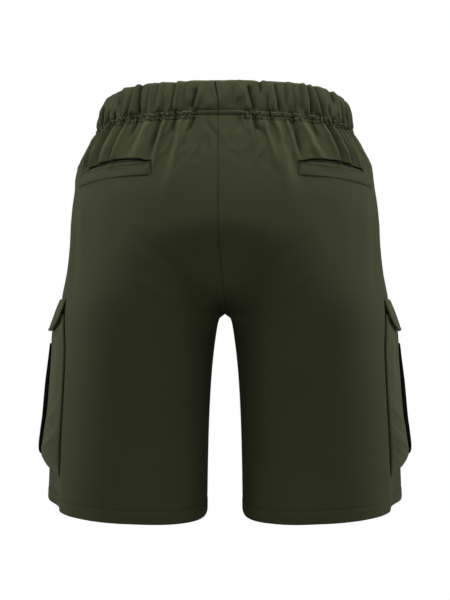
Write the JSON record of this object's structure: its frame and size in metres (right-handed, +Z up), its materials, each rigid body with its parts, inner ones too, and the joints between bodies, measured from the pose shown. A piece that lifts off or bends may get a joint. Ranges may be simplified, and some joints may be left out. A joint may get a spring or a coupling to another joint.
{
  "type": "cargo shorts",
  "caption": "Hollow, filled-out cargo shorts with a gathered elastic waist, slanted welt pockets on the seat and flapped bellows pockets on the outer thighs.",
  "frame": {"origin": "centre of the waist opening, half way up the elastic waistband, where the wearer holds the shorts", "axes": "+Z up, the front of the shorts faces -Y, the wearer's left side is +X"},
  "size_m": [0.4538, 0.2466, 0.5154],
  "materials": {
    "olive_twill": "light olive polyester twill, matt with a faint sheen",
    "olive_pocket": "the same olive twill, two layers at the edges",
    "black_cloth": "matt black woven tape"
  },
  "bodies": {
    "root": {"waistband": "olive_twill", "back_left": "olive_twill", "back_right": "olive_twill", "front_left": "olive_twill", "front_right": "olive_twill", "back_welt_left": "olive_twill", "back_welt_right": "olive_twill", "cargo_pocket_left": "olive_pocket", "cargo_pocket_right": "olive_pocket", "pocket_flap_left": "olive_pocket", "pocket_flap_right": "olive_pocket", "pocket_strip_left": "black_cloth", "pocket_strip_right": "black_cloth"}
  },
  "joints": []
}
